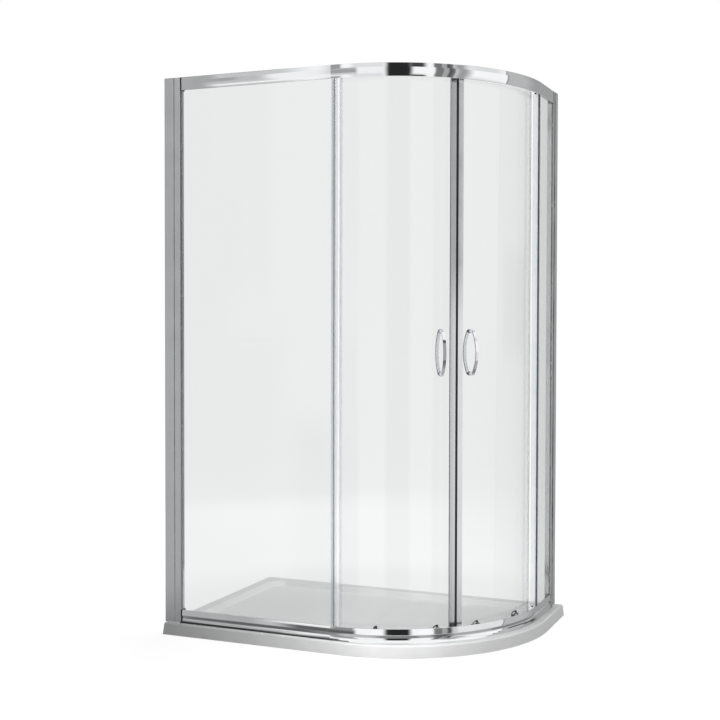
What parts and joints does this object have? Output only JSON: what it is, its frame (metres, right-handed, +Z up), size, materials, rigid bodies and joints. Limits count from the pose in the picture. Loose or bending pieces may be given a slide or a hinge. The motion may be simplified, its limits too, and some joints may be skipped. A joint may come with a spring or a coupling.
{
  "type": "shower enclosure",
  "caption": "Offset quadrant shower enclosure on a low white tray, with two flat fixed panels and two curved sliding doors between chrome rails.",
  "frame": {"origin": "middle of the tray's 1200 by 800 mm footprint, on the floor", "axes": "+X along the back wall towards the short panel, +Y towards the back wall, +Z up"},
  "size_m": [1.2, 0.8, 1.89],
  "materials": {
    "tray_white": "gloss acrylic cap over cast resin",
    "clear_glass": "clear toughened glass",
    "steel": "plain stainless steel",
    "chrome": "polished chrome plate",
    "black_seal": "soft black extrusion",
    "black_plastic": "moulded, satin",
    "clear_seal": "clear soft extrusion, faintly blue",
    "white_nylon": "moulded, satin",
    "bright_aluminium": "bright polished"
  },
  "bodies": {
    "frame": {"shower_tray": "tray_white", "wall_channel_left": "bright_aluminium", "wall_channel_right": "bright_aluminium", "upright_left": "bright_aluminium", "upright_right": "bright_aluminium", "top_rail": "bright_aluminium", "bottom_rail": "bright_aluminium", "rail_end_caps": "black_plastic", "fixed_glass_left": "clear_glass", "fixed_glass_right": "clear_glass", "glazing_gasket_left": "black_seal", "glazing_gasket_right": "black_seal", "panel_strip_left": "clear_seal", "panel_strip_right": "clear_seal", "panel_seal_left": "black_seal", "panel_seal_right": "black_seal", "seal_plugs": "black_seal", "joining_screws": "steel", "screw_caps": "chrome", "track_stops": "black_seal"},
    "door_left": {"door_glass_left": "clear_glass", "lead_profile_left": "bright_aluminium", "magnetic_seal_left": "black_seal", "trailing_seal_left": "clear_seal", "top_hangers_left": "steel", "hanger_caps_left": "chrome", "bottom_brackets_left": "black_plastic", "bracket_bolts_left": "black_plastic", "handle_outer_left": "chrome", "handle_inner_left": "chrome", "handle_studs_left": "steel"},
    "door_right": {"door_glass_right": "clear_glass", "lead_profile_right": "bright_aluminium", "magnetic_seal_right": "black_seal", "trailing_seal_right": "clear_seal", "top_hangers_right": "steel", "hanger_caps_right": "chrome", "bottom_brackets_right": "black_plastic", "bracket_bolts_right": "black_plastic", "handle_outer_right": "chrome", "handle_inner_right": "chrome", "handle_studs_right": "steel"},
    "top_wheel_left_near": {"top_wheel_left_near": "white_nylon"},
    "bottom_wheel_left_near": {"bottom_wheel_left_near": "white_nylon"},
    "release_left_near": {"release_left_near": "black_plastic"},
    "top_wheel_left_far": {"top_wheel_left_far": "white_nylon"},
    "bottom_wheel_left_far": {"bottom_wheel_left_far": "white_nylon"},
    "release_left_far": {"release_left_far": "black_plastic"},
    "top_wheel_right_near": {"top_wheel_right_near": "white_nylon"},
    "bottom_wheel_right_near": {"bottom_wheel_right_near": "white_nylon"},
    "release_right_near": {"release_right_near": "black_plastic"},
    "top_wheel_right_far": {"top_wheel_right_far": "white_nylon"},
    "bottom_wheel_right_far": {"bottom_wheel_right_far": "white_nylon"},
    "release_right_far": {"release_right_far": "black_plastic"}
  },
  "joints": [
    {"name": "door_left_slide", "type": "hinge", "parent": "frame", "child": "door_left", "pos_m": [0.0055, 0.1765, 0.945], "axis": [0, 0, -1], "range_deg": [0, 22.5]},
    {"name": "door_right_slide", "type": "hinge", "parent": "frame", "child": "door_right", "pos_m": [0.0075, 0.1785, 0.945], "axis": [0, 0, 1], "range_deg": [0, 22.5]},
    {"name": "top_wheel_left_near_spin", "type": "hinge", "parent": "door_left", "child": "top_wheel_left_near", "pos_m": [0.33274, -0.2585, 1.8702], "axis": [0.5962, -0.8028, 0], "range_deg": [0, 985]},
    {"name": "release_left_near_press", "type": "slide", "parent": "door_left", "child": "release_left_near", "axis": [0, 0, -1], "range_m": [0, 0.0045], "stiffness_N_per_m": 400, "springref_m": -0.004},
    {"name": "bottom_wheel_left_near_spin", "type": "hinge", "parent": "release_left_near", "child": "bottom_wheel_left_near", "pos_m": [0.33274, -0.2585, 0.0588], "axis": [-0.5962, 0.8028, 0], "range_deg": [0, 1366]},
    {"name": "top_wheel_left_far_spin", "type": "hinge", "parent": "door_left", "child": "top_wheel_left_far", "pos_m": [0.14452, -0.34747, 1.8702], "axis": [0.2419, -0.9703, 0], "range_deg": [0, 981]},
    {"name": "release_left_far_press", "type": "slide", "parent": "door_left", "child": "release_left_far", "axis": [0, 0, -1], "range_m": [0, 0.0045], "stiffness_N_per_m": 400, "springref_m": -0.004},
    {"name": "bottom_wheel_left_far_spin", "type": "hinge", "parent": "release_left_far", "child": "bottom_wheel_left_far", "pos_m": [0.14452, -0.34747, 0.0588], "axis": [-0.2419, 0.9703, 0], "range_deg": [0, 1361]},
    {"name": "top_wheel_right_near_spin", "type": "hinge", "parent": "door_right", "child": "top_wheel_right_near", "pos_m": [0.4425, -0.14874, 1.8702], "axis": [-0.8028, 0.5962, 0], "range_deg": [0, 985]},
    {"name": "release_right_near_press", "type": "slide", "parent": "door_right", "child": "release_right_near", "axis": [0, 0, -1], "range_m": [0, 0.0045], "stiffness_N_per_m": 400, "springref_m": -0.004},
    {"name": "bottom_wheel_right_near_spin", "type": "hinge", "parent": "release_right_near", "child": "bottom_wheel_right_near", "pos_m": [0.4425, -0.14874, 0.0588], "axis": [0.8028, -0.5962, 0], "range_deg": [0, 1366]},
    {"name": "top_wheel_right_far_spin", "type": "hinge", "parent": "door_right", "child": "top_wheel_right_far", "pos_m": [0.53147, 0.03948, 1.8702], "axis": [-0.9703, 0.2419, 0], "range_deg": [0, 981]},
    {"name": "release_right_far_press", "type": "slide", "parent": "door_right", "child": "release_right_far", "axis": [0, 0, -1], "range_m": [0, 0.0045], "stiffness_N_per_m": 400, "springref_m": -0.004},
    {"name": "bottom_wheel_right_far_spin", "type": "hinge", "parent": "release_right_far", "child": "bottom_wheel_right_far", "pos_m": [0.53147, 0.03948, 0.0588], "axis": [0.9703, -0.2419, 0], "range_deg": [0, 1361]}
  ],
  "couplings": [
    {"joint": "top_wheel_left_near_spin", "follows": "door_left_slide", "ratio": 43.548},
    {"joint": "bottom_wheel_left_near_spin", "follows": "door_left_slide", "ratio": 60.483},
    {"joint": "top_wheel_left_far_spin", "follows": "door_left_slide", "ratio": 43.368},
    {"joint": "bottom_wheel_left_far_spin", "follows": "door_left_slide", "ratio": 60.233},
    {"joint": "top_wheel_right_near_spin", "follows": "door_right_slide", "ratio": 43.548},
    {"joint": "bottom_wheel_right_near_spin", "follows": "door_right_slide", "ratio": 60.483},
    {"joint": "top_wheel_right_far_spin", "follows": "door_right_slide", "ratio": 43.368},
    {"joint": "bottom_wheel_right_far_spin", "follows": "door_right_slide", "ratio": 60.233}
  ]
}
